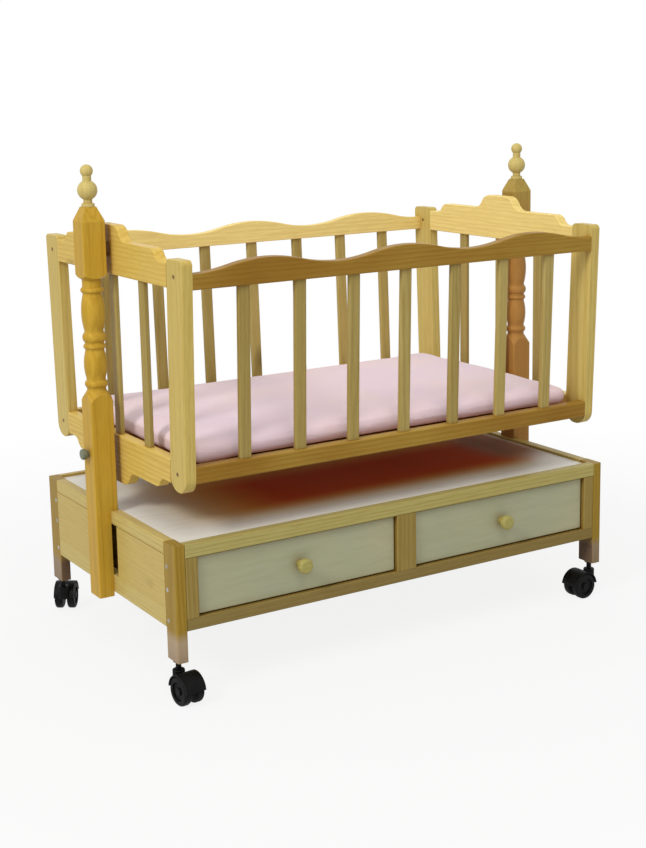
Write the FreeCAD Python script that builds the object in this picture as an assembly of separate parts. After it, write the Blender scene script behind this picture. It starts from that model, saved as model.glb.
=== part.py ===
import FreeCAD, Part
import math
import os

os.makedirs("parts", exist_ok=True)

# A baby's cradle that swings between two turned uprights on a low two-drawer stand with casters.
# Millimetres. The origin is on the floor under the middle of the stand.
# +X runs along the cradle, -Y is the front with the drawers, +Z is up.

Vec = FreeCAD.Vector
axis_x = Vec(1, 0, 0)
axis_y = Vec(0, 1, 0)
axis_z = Vec(0, 0, 1)
origin = Vec(0, 0, 0)

# Clearances
running_fit = 0.05
joint_room = 0.3
drawer_room = 2.0
edge_round = 2.0

# Cradle frame
cradle_length = 908.0
cradle_top_width = 594.0
cradle_bottom_width = 565.0
post_height = 401.0
post_width = 58.0
frame_board = 20.0
post_top_round = 9.0
post_foot_round = 27.0
cradle_lift = 84.0
side_rail_low = 27.0
side_rail_wave = 18.0
side_rail_humps = 3
side_top_rail_drop = 50.0
side_bottom_rail_rise = 18.0
side_bottom_rail_height = 30.0
slat_width = 23.0
slat_thickness = 10.0
slat_tenon = 8.0
slat_round = 3.0
side_slats = 7
end_slats = 3
end_slat_pitch = 124.0
stub_tenon = 8.0
tenon_cheek = 5.0
end_tenon = 32.0
end_tenon_height = 26.0
peg_radius = 3.5
peg_proud = 0.6
peg_inset = 30.0

# Outline of the end rails: heights over the straight edge, then runs from the posts and from the middle
end_rail_end = 43.0
end_rail_shoulder = 62.0
end_rail_crest = 90.0
end_rail_flat = 26.0
end_rail_step_run = 34.0
end_rail_rise_run = 50.0
end_rail_crest_half = 27.0
end_top_rail_drop = 50.0
end_bottom_rail_rise = 54.0

# Cradle floor and mattress
floor_thickness = 8.0
floor_rise = 30.0
cleat_width = 14.0
cleat_height = 12.0
mattress_side = 34.0
mattress_crown = 12.0
mattress_room = 7.0
mattress_bulge = 7.0
mattress_draw = 6.0
mattress_end_round = 10.0

# Swing pivot
pivot_drop = 5.0
swing_gap = 11.0
pin_radius = 6.0
pin_seat = 28.0
bush_radius = 9.0
bush_seat = 14.0
bush_hub_radius = 13.0

# Uprights and finials
upright_side = 44.0
upright_tail = 8.0
upright_chamfer = 1.5
block_height = 104.0
block_pommel = 9.0
shoulder_height = 21.0
pyramid_height = 26.0
pyramid_flat = 22.0
neck_radius = 17.5
notch_depth = 15.0
dowel_radius = 5.0
dowel_length = 22.0
finial_collar_radius = 12.0
finial_collar = 6.0
finial_neck_radius = 8.0
big_ball_radius = 18.0
big_ball_rise = 29.0
small_ball_radius = 11.5
small_ball_rise = 63.0

# Turned shaft from the shoulder up: height of each stretch and how far it swells past the neck
turned_stretches = (
    (5.0, 0.0), (13.0, 3.5), (4.0, 0.0), (50.0, 3.5), (4.0, 0.0), (9.0, 3.0), (3.0, 0.0),
    (18.0, 4.0), (4.0, 0.0), (64.0, 4.0), (4.0, 0.0), (10.0, 3.5), (14.0, 0.0),
)

# Swing lock
lock_radius = 5.0
lock_rise = 25.0
lock_tip_gap = 4.0
lock_knob_gap = 4.5
lock_knob_radius = 10.0
lock_knob_length = 10.0
lock_knob_round = 3.0

# Stand cabinet
caster_height = 72.0
leg_drop = 55.0
box_height = 155.0
base_width = 566.0
leg_thickness = 20.0
leg_width = 42.0
end_top_rail_height = 24.0
end_bottom_rail_height = 33.0
end_panel_thickness = 12.0
upright_slot = 22.0
front_board = 20.0
front_top_rail_height = 25.0
front_bottom_rail_height = 22.0
front_stile_width = 24.0
centre_stile_width = 43.0
back_thickness = 12.0
top_thickness = 12.0
top_recess = 5.0
floor_panel_thickness = 8.0
partition_thickness = 18.0
leg_screw_radius = 2.2
leg_screw_head_radius = 4.0
leg_screw_head = 1.6
leg_screw_length = 16.0
leg_screw_inset = 9.0
leg_screw_heights = (14.0, 70.0, 112.0)

# Drawers
drawer_front_thickness = 18.0
drawer_front_recess = 8.0
drawer_back_room = 42.0
drawer_side_thickness = 12.0
drawer_side_height = 88.0
drawer_side_room = 4.0
drawer_bottom_thickness = 4.0
drawer_bottom_rise = 6.0
drawer_groove = 5.0
runner_width = 20.0
knob_head_radius = 14.0
knob_head_length = 14.0
knob_head_round = 5.0
knob_neck_radius = 7.0
knob_neck_length = 12.0
knob_dowel_radius = 4.0
knob_dowel_length = 12.0

# Casters
wheel_diameter = 52.0
wheel_width = 15.0
wheel_round = 4.0
wheel_dish_radius = 17.0
wheel_dish_depth = 3.0
wheel_hub_radius = 7.0
wheel_gap = 1.0
hood_wall = 2.5
hood_skirt = 3.0
web_thickness = 8.0
caster_trail = 26.0
axle_radius = 3.0
boss_radius = 11.0
collar_radius = 9.0
collar_height = 2.5
stem_radius = 5.0
stem_length = 28.0
socket_wall = 2.0

# Which way each caster trails at rest, in degrees from -Y towards +X
caster_turns = {"front_left": 6.0, "front_right": 272.0, "back_left": 146.0, "back_right": 90.0}

# Places worked out from the sizes above
base_bottom = caster_height + leg_drop
base_top = base_bottom + box_height
post_bottom = base_top + cradle_lift
post_top = post_bottom + post_height
pivot_z = post_top - pivot_drop
cradle_end = cradle_length / 2
cradle_inner = cradle_end - frame_board
upright_half = upright_side / 2
upright_inner = cradle_end + swing_gap
upright_x = upright_inner + upright_half
base_end = upright_inner + notch_depth
base_inner = base_end - leg_thickness
base_front = base_width / 2
lean = math.atan((cradle_top_width - cradle_bottom_width) / 2 / post_height)
lean_degrees = math.degrees(lean)


def save(name, shape):
    shape.exportStep("parts/" + name + ".step")


def block(low_x, high_x, low_y, high_y, low_z, high_z):
    size = (high_x - low_x, high_y - low_y, high_z - low_z)
    return Part.makeBox(*size, Vec(low_x, low_y, low_z))


def rod(radius, start, direction, length):
    return Part.makeCylinder(radius, length, start, direction)


def flat_in(edge, axis, value, slack=0.01):
    box = edge.BoundBox
    low = (box.XMin, box.YMin, box.ZMin)[axis]
    high = (box.XMax, box.YMax, box.ZMax)[axis]
    return abs(low - value) < slack and abs(high - value) < slack


def runs_along(edge, axis, slack=0.01):
    box = edge.BoundBox
    spans = [box.XLength, box.YLength, box.ZLength]
    across = [span for place, span in enumerate(spans) if place != axis]
    return spans[axis] > slack and max(across) < slack


def round_long(shape, axis, radius):
    return shape.makeFillet(radius, [edge for edge in shape.Edges if runs_along(edge, axis)])


def half_turn(shape):
    turned = shape.copy()
    turned.rotate(origin, axis_z, 180)
    return turned


def polygon_wire(points):
    return Part.makePolygon(points + [points[0]])


def outer_y(z):
    return cradle_bottom_width / 2 + (z - post_bottom) * math.tan(lean)


def ogee(start, end, plane_point):
    """Two equal arcs with level ends that join start to end, as (across, up) pairs."""
    run = end[0] - start[0]
    rise = end[1] - start[1]
    radius = (run * run + rise * rise) / (4 * abs(rise))
    half_angle = math.asin(abs(run) / 2 / radius) / 2
    side = math.copysign(1.0, run)
    way = math.copysign(1.0, rise)
    reach = radius * math.sin(half_angle)
    lift = radius * (1 - math.cos(half_angle))
    middle = (start[0] + run / 2, start[1] + rise / 2)
    first = (start[0] + side * reach, start[1] + way * lift)
    last = (end[0] - side * reach, end[1] - way * lift)
    arcs = ((start, first, middle), (middle, last, end))
    return [Part.Arc(*[plane_point(point) for point in arc]).toShape() for arc in arcs]


def turned_solid(points_and_bulges, close_radius):
    """Solid of revolution about Z: (z, radius, bulge) stations, each stretch straight or swollen."""
    edges = []
    for low, high in zip(points_and_bulges, points_and_bulges[1:]):
        start = Vec(low[1], 0, low[0])
        end = Vec(high[1], 0, high[0])
        if low[2]:
            swell = Vec((low[1] + high[1]) / 2 + low[2], 0, (low[0] + high[0]) / 2)
            edges.append(Part.Arc(start, swell, end).toShape())
        else:
            edges.append(Part.makeLine(start, end))
    bottom = points_and_bulges[0]
    top = points_and_bulges[-1]
    edges.append(Part.makeLine(Vec(top[1], 0, top[0]), Vec(close_radius, 0, top[0])))
    edges.append(Part.makeLine(Vec(close_radius, 0, top[0]), Vec(close_radius, 0, bottom[0])))
    edges.append(Part.makeLine(Vec(close_radius, 0, bottom[0]), Vec(bottom[1], 0, bottom[0])))
    face = Part.Face(Part.Wire(Part.__sortEdges__(edges)))
    return face.revolve(origin, axis_z, 360)


# Cradle side frames: rails and slats are laid out upright, then leaned out with the posts

side_top_low = post_height - side_top_rail_drop
side_slat_pitch = (2 * cradle_inner + slat_width) / (side_slats + 1)


def lean_out(shape):
    leaned = shape.copy()
    leaned.rotate(origin, axis_x, lean_degrees)
    leaned.translate(Vec(0, -cradle_bottom_width / 2, post_bottom))
    return leaned


def side_slat_bar(x, low, high):
    middle = frame_board / 2
    bar = block(
        x - slat_width / 2, x + slat_width / 2,
        middle - slat_thickness / 2, middle + slat_thickness / 2,
        low - slat_tenon, high + slat_tenon)
    return round_long(bar, 2, slat_round)


def side_slat_bars():
    low = side_bottom_rail_rise + side_bottom_rail_height
    places = [(index - (side_slats - 1) / 2) * side_slat_pitch for index in range(side_slats)]
    return Part.Compound([side_slat_bar(x, low, side_top_low) for x in places])


def side_stub_tenons(low, high):
    tenons = []
    for side in (-1, 1):
        near = side * cradle_inner
        far = side * (cradle_inner + stub_tenon)
        ends = sorted((near, far))
        tenons.append(block(
            ends[0], ends[1], tenon_cheek, frame_board - tenon_cheek,
            low + tenon_cheek, high - tenon_cheek))
    return tenons


def wavy_rail(slats):
    def at_front(point):
        return Vec(point[0], 0, point[1])

    low = side_top_low + side_rail_low
    high = low + side_rail_wave
    step = cradle_inner / side_rail_humps
    edges = []
    for index in range(2 * side_rail_humps):
        x = cradle_inner - index * step
        start_z, end_z = (low, high) if index % 2 == 0 else (high, low)
        edges += ogee((x, start_z), (x - step, end_z), at_front)
    corners = [
        (-cradle_inner, low), (-cradle_inner, side_top_low),
        (cradle_inner, side_top_low), (cradle_inner, low)]
    for start, end in zip(corners, corners[1:]):
        edges.append(Part.makeLine(at_front(start), at_front(end)))
    rail = Part.Face(Part.Wire(edges)).extrude(Vec(0, frame_board, 0))
    long_edges = [
        edge for edge in rail.Edges
        if (flat_in(edge, 1, 0) or flat_in(edge, 1, frame_board)) and not runs_along(edge, 2)]
    rail = rail.makeFillet(edge_round, long_edges)
    return rail.fuse(side_stub_tenons(side_top_low, low)).cut(slats)


def side_bottom_rail(slats):
    low = side_bottom_rail_rise
    high = low + side_bottom_rail_height
    rail = block(-cradle_inner, cradle_inner, 0, frame_board, low, high)
    rail = round_long(rail, 0, edge_round)
    return rail.fuse(side_stub_tenons(low, high)).cut(slats)


slats_flat = side_slat_bars()
front_top = lean_out(wavy_rail(slats_flat))
front_bottom = lean_out(side_bottom_rail(slats_flat))
front_slats = lean_out(slats_flat)
save("side_top_rail_front", front_top)
save("side_top_rail_back", half_turn(front_top))
save("side_bottom_rail_front", front_bottom)
save("side_bottom_rail_back", half_turn(front_bottom))
save("side_slats_front", front_slats)
save("side_slats_back", half_turn(front_slats))

# Cradle ends: humped rails and three slats between two posts

end_top_edge = post_top - end_top_rail_drop
end_bottom_edge = post_bottom + end_bottom_rail_rise


def inner_y(z):
    return outer_y(z) - post_width


def end_rail(edge_z, way, slats):
    """Rail with one straight edge at edge_z; its humps stand up for way 1 and hang down for way -1."""
    def at_end(point):
        return Vec(-cradle_end, point[0], edge_z + way * point[1])

    post_edge = inner_y(edge_z + way * end_rail_end)
    step_out = post_edge - end_rail_flat
    step_in = step_out - end_rail_step_run
    rise_out = end_rail_crest_half + end_rail_rise_run

    def half_outline(side):
        stations = [
            (side * step_out, end_rail_end), (side * step_in, end_rail_shoulder),
            (side * rise_out, end_rail_shoulder), (side * end_rail_crest_half, end_rail_crest)]
        post_side = (side * post_edge, end_rail_end)
        edge_side = (side * inner_y(edge_z), 0)
        edges = [Part.makeLine(at_end(edge_side), at_end(post_side))]
        edges.append(Part.makeLine(at_end(post_side), at_end(stations[0])))
        edges += ogee(stations[0], stations[1], at_end)
        edges.append(Part.makeLine(at_end(stations[1]), at_end(stations[2])))
        edges += ogee(stations[2], stations[3], at_end)
        return edges

    left_crest = at_end((-end_rail_crest_half, end_rail_crest))
    right_crest = at_end((end_rail_crest_half, end_rail_crest))
    edges = half_outline(-1) + half_outline(1)
    edges.append(Part.makeLine(left_crest, right_crest))
    edges.append(Part.makeLine(at_end((-inner_y(edge_z), 0)), at_end((inner_y(edge_z), 0))))
    rail = Part.Face(Part.Wire(Part.__sortEdges__(edges))).extrude(Vec(frame_board, 0, 0))
    ends = (-cradle_end, -cradle_inner)
    outline = [
        edge for edge in rail.Edges
        if any(flat_in(edge, 0, x) for x in ends) and not leans(edge)]
    rail = rail.makeFillet(edge_round, outline)
    return rail.fuse(end_tenons(edge_z, way)).cut(slats)


def leans(edge):
    box = edge.BoundBox
    return box.ZLength > end_rail_end / 2 and box.YLength < box.ZLength / 2


def end_tenons(edge_z, way):
    middle = edge_z + way * end_rail_end / 2
    low = middle - end_tenon_height / 2
    high = middle + end_tenon_height / 2
    tenons = []
    for side in (-1, 1):
        near = side * (min(inner_y(low), inner_y(high)) - edge_round)
        far = side * (inner_y(middle) + end_tenon)
        ends = sorted((near, far))
        tenons.append(block(
            -cradle_end + tenon_cheek, -cradle_inner - tenon_cheek, ends[0], ends[1], low, high))
    return tenons


def end_slat_bars():
    middle = -cradle_end + frame_board / 2
    bars = []
    for index in range(end_slats):
        y = (index - (end_slats - 1) / 2) * end_slat_pitch
        bar = block(
            middle - slat_thickness / 2, middle + slat_thickness / 2,
            y - slat_width / 2, y + slat_width / 2,
            end_bottom_edge - slat_tenon, end_top_edge + slat_tenon)
        bars.append(round_long(bar, 2, slat_round))
    return Part.Compound(bars)


def pivot_rod(x, radius, length):
    return rod(radius, Vec(x, 0, pivot_z), axis_x, length)


upper_peg_z = end_top_edge + end_rail_end / 2
lower_peg_z = end_bottom_edge - end_rail_end / 2


def left_pegs(z, radius):
    length = frame_board + peg_proud
    start_x = -cradle_end - peg_proud
    places = [side * (outer_y(z) - peg_inset) for side in (-1, 1)]
    return [rod(radius, Vec(start_x, y, z), axis_x, length) for y in places]


left_slats = end_slat_bars()
upper_peg_holes = left_pegs(upper_peg_z, peg_radius + running_fit)
lower_peg_holes = left_pegs(lower_peg_z, peg_radius + running_fit)
left_bush_hole = pivot_rod(-cradle_end, bush_radius + running_fit, bush_seat)
left_top_rail = end_rail(end_top_edge, 1, left_slats).cut(upper_peg_holes + [left_bush_hole])
left_bottom_rail = end_rail(end_bottom_edge, -1, left_slats).cut(lower_peg_holes)
save("cradle_end_top_rail_left", left_top_rail)
save("cradle_end_top_rail_right", half_turn(left_top_rail))
save("cradle_end_bottom_rail_left", left_bottom_rail)
save("cradle_end_bottom_rail_right", half_turn(left_bottom_rail))
save("end_slats_left", left_slats)
save("end_slats_right", half_turn(left_slats))

# Corner posts with their pegs


def post_blank():
    corners = [
        Vec(-cradle_end, -outer_y(post_bottom), post_bottom),
        Vec(-cradle_end, -outer_y(post_top), post_top),
        Vec(-cradle_end, -inner_y(post_top), post_top),
        Vec(-cradle_end, -inner_y(post_bottom), post_bottom)]
    post = Part.Face(polygon_wire(corners)).extrude(Vec(frame_board, 0, 0))
    feet = [edge for edge in post.Edges if runs_along(edge, 0) and flat_in(edge, 2, post_bottom)]
    post = post.makeFillet(post_foot_round, feet)
    tops = [edge for edge in post.Edges if runs_along(edge, 0) and flat_in(edge, 2, post_top)]
    post = post.makeFillet(post_top_round, tops)
    outline = [edge for edge in post.Edges if flat_in(edge, 0, -cradle_end)]
    return post.makeFillet(edge_round, outline)


joined_rails = [left_top_rail, left_bottom_rail, front_top, front_bottom]
front_left_post = post_blank().cut(joined_rails + upper_peg_holes + lower_peg_holes)
front_right_post = front_left_post.mirror(origin, axis_x)
save("corner_post_front_left", front_left_post)
save("corner_post_front_right", front_right_post)
save("corner_post_back_right", half_turn(front_left_post))
save("corner_post_back_left", half_turn(front_right_post))

for level, z in (("upper", upper_peg_z), ("lower", lower_peg_z)):
    pegs = Part.Compound(left_pegs(z, peg_radius))
    save("frame_pegs_" + level, Part.Compound(pegs.Solids + half_turn(pegs).Solids))

# Cradle floor on its cleats, and the mattress


def rail_inner_y(low, high):
    return min(outer_y(low), outer_y(high)) - frame_board / math.cos(lean)


cradle_floor_bottom = post_bottom + floor_rise
cradle_floor_top = cradle_floor_bottom + floor_thickness
floor_half_length = cradle_inner - joint_room
floor_half_width = rail_inner_y(cradle_floor_bottom, cradle_floor_top) - joint_room
save("cradle_floor", block(
    -floor_half_length, floor_half_length, -floor_half_width, floor_half_width,
    cradle_floor_bottom, cradle_floor_top))

cleat_low = cradle_floor_bottom - cleat_height
cleat_outer = rail_inner_y(cleat_low, cradle_floor_bottom)
front_cleat = block(
    -floor_half_length, floor_half_length, -cleat_outer, cleat_width - cleat_outer,
    cleat_low, cradle_floor_bottom)
save("floor_cleats", Part.Compound([front_cleat, half_turn(front_cleat)]))

mattress_low = cradle_floor_top + joint_room
mattress_half_length = cradle_inner - mattress_room
mattress_half_width = rail_inner_y(mattress_low, mattress_low + mattress_side) - mattress_room


def mattress_section(x, half_width, side_height, crown):
    seam = half_width - mattress_bulge
    top = mattress_low + side_height
    waist = mattress_low + side_height / 2
    corners = [
        Vec(x, -seam, mattress_low), Vec(x, seam, mattress_low),
        Vec(x, seam, top), Vec(x, -seam, top)]
    edges = [
        Part.makeLine(corners[0], corners[1]),
        Part.Arc(corners[1], Vec(x, half_width, waist), corners[2]).toShape(),
        Part.Arc(corners[2], Vec(x, 0, top + crown), corners[3]).toShape(),
        Part.Arc(corners[3], Vec(x, -half_width, waist), corners[0]).toShape()]
    return Part.Wire(edges)


def mattress_solid():
    ends = mattress_half_length
    stations = (
        (-ends, mattress_half_width, mattress_side, mattress_crown / 2),
        (0, mattress_half_width - mattress_draw, mattress_side, mattress_crown),
        (ends, mattress_half_width, mattress_side, mattress_crown / 2))
    pad = Part.makeLoft([mattress_section(*station) for station in stations], True)
    end_edges = [edge for edge in pad.Edges if flat_in(edge, 0, -ends) or flat_in(edge, 0, ends)]
    return pad.makeFillet(mattress_end_round, end_edges)


save("mattress", mattress_solid())

# Swing pivot: a pin fixed in the upright, turning in a bush that is let into the cradle's end rail

upright_outer = upright_x + upright_half
pin_far = upright_inner + pin_seat
pin_near = cradle_end - bush_seat + joint_room
bush_near = cradle_end - bush_seat
hub_face = upright_inner - joint_room


def x_ring(outer_radius, far_x, near_x):
    """Ring that runs on the left pivot pin from -far_x to -near_x."""
    length = far_x - near_x
    return pivot_rod(-far_x, outer_radius, length).cut(pivot_rod(-far_x, pin_radius + running_fit, length))


left_pin = pivot_rod(-pin_far, pin_radius, pin_far - pin_near)
save("pivot_pins", Part.Compound([left_pin, half_turn(left_pin)]))

left_bush = x_ring(bush_radius, cradle_end, bush_near)
left_bush = left_bush.fuse(x_ring(bush_hub_radius, hub_face, cradle_end)).removeSplitter()
save("pivot_bushes", Part.Compound([left_bush, half_turn(left_bush)]))

# Stand ends: legs, rails and panels

leg_inner_y = base_front - leg_width
leg_x = base_end - leg_thickness / 2
leg_y = base_front - leg_width / 2
end_rail_low = base_top - end_top_rail_height
end_panel_low = base_bottom + end_bottom_rail_height
panel_edge = upright_half + upright_slot
socket_radius = stem_radius + running_fit + socket_wall


def leg_screws(radius, head_radius):
    screws = []
    for height in leg_screw_heights:
        start = Vec(-base_end, -leg_inner_y - leg_screw_inset, base_bottom + height)
        shank = rod(radius, start, axis_x, leg_screw_length)
        screws.append(shank.fuse(rod(head_radius, start, axis_x, leg_screw_head)).removeSplitter())
    return screws


left_end_rails = [
    block(-base_end, -base_inner, -leg_inner_y, leg_inner_y, end_rail_low, base_top),
    block(-base_end, -base_inner, -leg_inner_y, leg_inner_y, base_bottom, end_panel_low)]
left_end_rails = [round_long(rail, 1, edge_round) for rail in left_end_rails]
left_rail_pair = Part.Compound(left_end_rails)
save("stand_end_rails_left", left_rail_pair)
save("stand_end_rails_right", half_turn(left_rail_pair))

panel_inner = base_end - end_panel_thickness
left_panel = block(-base_end, -panel_inner, -leg_inner_y, -panel_edge, end_panel_low, end_rail_low)
left_panels = Part.Compound([left_panel, left_panel.mirror(origin, axis_y)])
save("stand_end_panels_left", left_panels)
save("stand_end_panels_right", half_turn(left_panels))

leg = block(-base_end, -base_inner, -base_front, -leg_inner_y, caster_height, base_top)
leg = round_long(leg, 2, edge_round)
socket_hole = rod(socket_radius, Vec(-leg_x, -leg_y, caster_height), axis_z, stem_length + joint_room)
screw_holes = leg_screws(leg_screw_radius + running_fit, leg_screw_head_radius + running_fit)
front_left_leg = leg.cut([socket_hole] + screw_holes)
front_right_leg = front_left_leg.mirror(origin, axis_x)
save("leg_front_left", front_left_leg)
save("leg_front_right", front_right_leg)
save("leg_back_right", half_turn(front_left_leg))
save("leg_back_left", half_turn(front_right_leg))

front_left_screws = Part.Compound(leg_screws(leg_screw_radius, leg_screw_head_radius))
front_right_screws = front_left_screws.mirror(origin, axis_x)
front_screws = front_left_screws.Solids + front_right_screws.Solids
save("leg_screws", Part.Compound(front_screws + half_turn(Part.Compound(front_screws)).Solids))

# Uprights with finials, and the swing lock in the left one

block_low = pivot_z - block_height / 2
block_high = pivot_z + block_height / 2
turned_low = block_low - sum(height for height, swell in turned_stretches)
shoulder_low = turned_low - shoulder_height
upright_top = block_high + pyramid_height
upright_bottom = base_bottom - upright_tail
lock_z = post_bottom + lock_rise
corner_radius = upright_half * math.sqrt(2)


def square_bar(low, high):
    bar = block(-upright_half, upright_half, -upright_half, upright_half, low, high)
    return bar.makeChamfer(upright_chamfer, [edge for edge in bar.Edges if runs_along(edge, 2)])


def turned_shaft():
    stations = []
    z = turned_low
    for height, swell in turned_stretches:
        stations.append((z, neck_radius, swell))
        z += height
    stations.append((z, neck_radius, 0.0))
    return turned_solid(stations, 0.0)


def pyramid_cap():
    wires = []
    for half, z in ((upright_half, block_high), (pyramid_flat / 2, upright_top)):
        corners = [Vec(-half, -half, z), Vec(half, -half, z), Vec(half, half, z), Vec(-half, half, z)]
        wires.append(polygon_wire(corners))
    return Part.makeLoft(wires, True, True).common(square_bar(block_high, upright_top))


def upright_blank():
    shoulder_cone = Part.makeCone(corner_radius, neck_radius, shoulder_height, Vec(0, 0, shoulder_low))
    pommel_cone = Part.makeCone(neck_radius, corner_radius, block_pommel, Vec(0, 0, block_low))
    pieces = [
        square_bar(shoulder_low, turned_low).common(shoulder_cone),
        turned_shaft(),
        square_bar(block_low, block_low + block_pommel).common(pommel_cone),
        square_bar(block_low + block_pommel, block_high),
        pyramid_cap()]
    return square_bar(upright_bottom, shoulder_low).fuse(pieces).removeSplitter()


plain_upright = upright_blank()
plain_upright.translate(Vec(-upright_x, 0, 0))
pin_hole = pivot_rod(-pin_far - joint_room, pin_radius + running_fit, pin_seat + joint_room)
notch = block(-base_end, -upright_inner, -upright_half, upright_half, upright_bottom, base_top)
dowel_start = Vec(-upright_x, 0, upright_top - dowel_length - joint_room)
dowel_hole = rod(dowel_radius + running_fit, dowel_start, axis_z, dowel_length + joint_room)
plain_upright = plain_upright.cut([notch, pin_hole, dowel_hole])
lock_hole = rod(lock_radius + running_fit, Vec(-upright_outer, 0, lock_z), axis_x, upright_side)
save("upright_left", plain_upright.cut(lock_hole))
save("upright_right", half_turn(plain_upright))


def finial():
    base = Vec(-upright_x, 0, upright_top)
    dowel = rod(dowel_radius, base - axis_z * dowel_length, axis_z, dowel_length + finial_collar)
    collar = rod(finial_collar_radius, base, axis_z, finial_collar)
    collar_top = base.z + finial_collar
    collar = collar.makeFillet(edge_round, [edge for edge in collar.Edges if flat_in(edge, 2, collar_top)])
    neck = rod(finial_neck_radius, base, axis_z, small_ball_rise)
    big_ball = Part.makeSphere(big_ball_radius, base + axis_z * big_ball_rise)
    small_ball = Part.makeSphere(small_ball_radius, base + axis_z * small_ball_rise)
    return dowel.fuse([collar, neck, big_ball, small_ball]).removeSplitter()


left_finial = finial()
save("finial_left", left_finial)
save("finial_right", half_turn(left_finial))

lock_tip = cradle_end + lock_tip_gap
lock_knob_inner = upright_outer + lock_knob_gap
lock_knob_outer = lock_knob_inner + lock_knob_length
lock_shank = rod(lock_radius, Vec(-lock_knob_inner, 0, lock_z), axis_x, lock_knob_inner - lock_tip)
lock_knob = rod(lock_knob_radius, Vec(-lock_knob_outer, 0, lock_z), axis_x, lock_knob_length)
lock_faces = (-lock_knob_outer, -lock_knob_inner)
lock_rims = [edge for edge in lock_knob.Edges if any(flat_in(edge, 0, x) for x in lock_faces)]
lock_knob = lock_knob.makeFillet(lock_knob_round, lock_rims)
save("swing_lock_screw", lock_shank.fuse(lock_knob))

# Stand front, back and inside

front_inner = base_front - front_board
front_rail_low = base_top - front_top_rail_height
front_bottom_high = base_bottom + front_bottom_rail_height
opening_outer = base_inner - front_stile_width
opening_inner = centre_stile_width / 2
back_inner = base_front - back_thickness
top_low = base_top - top_recess - top_thickness
floor_panel_top = base_bottom + floor_panel_thickness

front_top_rail = block(-base_inner, base_inner, -base_front, -front_inner, front_rail_low, base_top)
save("front_top_rail", round_long(front_top_rail, 0, edge_round))
front_bottom_rail = block(
    -base_inner, base_inner, -base_front, -front_inner, base_bottom, front_bottom_high)
save("front_bottom_rail", round_long(front_bottom_rail, 0, edge_round))


def stile(low_x, high_x):
    board = block(low_x, high_x, -base_front, -front_inner, front_bottom_high, front_rail_low)
    return round_long(board, 2, edge_round)


stiles = [
    stile(-base_inner, -opening_outer),
    stile(-opening_inner, opening_inner),
    stile(opening_outer, base_inner)]
save("front_stiles", Part.Compound(stiles))
save("stand_back_panel", block(-base_inner, base_inner, back_inner, base_front, base_bottom, base_top))
save("stand_top_panel", block(
    -base_inner, base_inner, -front_inner, back_inner, top_low, top_low + top_thickness))
save("stand_floor_panel", block(
    -base_inner, base_inner, -front_inner, back_inner, base_bottom, floor_panel_top))
save("drawer_partition", block(
    -partition_thickness / 2, partition_thickness / 2, -front_inner, back_inner, floor_panel_top, top_low))

# Drawers

drawer_low = front_bottom_high + drawer_room
drawer_front_y = base_front - drawer_front_recess
drawer_box_front = drawer_front_y - drawer_front_thickness
drawer_box_back = back_inner - drawer_back_room
drawer_outer_x = opening_outer - drawer_side_room
drawer_inner_x = opening_inner + drawer_side_room
runner_top = drawer_low - joint_room

left_runners = [
    block(low_x, low_x + runner_width, -front_inner, back_inner, floor_panel_top, runner_top)
    for low_x in (-opening_outer, -opening_inner - runner_width)]
right_runners = [runner.mirror(origin, axis_x) for runner in left_runners]
save("drawer_runners", Part.Compound(left_runners + right_runners))


def drawer_box_left():
    side_high = drawer_low + drawer_side_height
    bottom_low = drawer_low + drawer_bottom_rise
    bottom_high = bottom_low + drawer_bottom_thickness
    outer_wall = drawer_outer_x - drawer_side_thickness
    inner_wall = drawer_inner_x + drawer_side_thickness
    back_start = drawer_box_back - drawer_side_thickness
    bottom = block(
        -outer_wall - drawer_groove, drawer_groove - inner_wall,
        -drawer_box_front, back_start, bottom_low, bottom_high)
    outer_side = block(
        -drawer_outer_x, -outer_wall, -drawer_box_front, drawer_box_back, drawer_low, side_high)
    inner_side = block(
        -inner_wall, -drawer_inner_x, -drawer_box_front, drawer_box_back, drawer_low, side_high)
    back = block(-outer_wall, -inner_wall, back_start, drawer_box_back, drawer_low, side_high)
    return Part.Compound([outer_side.cut(bottom), inner_side.cut(bottom), back, bottom])


drawer_front_high = front_rail_low - drawer_room
drawer_middle_x = (opening_outer + opening_inner) / 2
drawer_middle_z = (drawer_low + drawer_front_high) / 2
knob_base = Vec(-drawer_middle_x, -drawer_front_y, drawer_middle_z)


def drawer_knob_left():
    head_start = knob_base - axis_y * knob_neck_length
    dowel = rod(knob_dowel_radius, knob_base, axis_y, knob_dowel_length)
    neck = rod(knob_neck_radius, head_start, axis_y, knob_neck_length)
    head = rod(knob_head_radius, head_start - axis_y * knob_head_length, axis_y, knob_head_length)
    rims = [edge for edge in head.Edges if runs_in_circle(edge)]
    head = head.makeFillet(knob_head_round, rims)
    return dowel.fuse([neck, head]).removeSplitter()


def runs_in_circle(edge):
    return isinstance(edge.Curve, Part.Circle)


left_front = block(
    drawer_room - opening_outer, -opening_inner - drawer_room,
    -drawer_front_y, -drawer_box_front, drawer_low, drawer_front_high)
front_rim = [edge for edge in left_front.Edges if flat_in(edge, 1, -drawer_front_y)]
left_front = left_front.makeFillet(edge_round, front_rim)
knob_hole = rod(knob_dowel_radius + running_fit, knob_base, axis_y, knob_dowel_length + joint_room)
left_front = left_front.cut(knob_hole)
left_box = drawer_box_left()
left_knob = drawer_knob_left()
save("drawer_front_left", left_front)
save("drawer_front_right", left_front.mirror(origin, axis_x))
save("drawer_box_left", left_box)
save("drawer_box_right", left_box.mirror(origin, axis_x))
save("drawer_knob_left", left_knob)
save("drawer_knob_right", left_knob.mirror(origin, axis_x))

# Casters, laid out trailing towards -Y with the swivel on the Z axis

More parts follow.
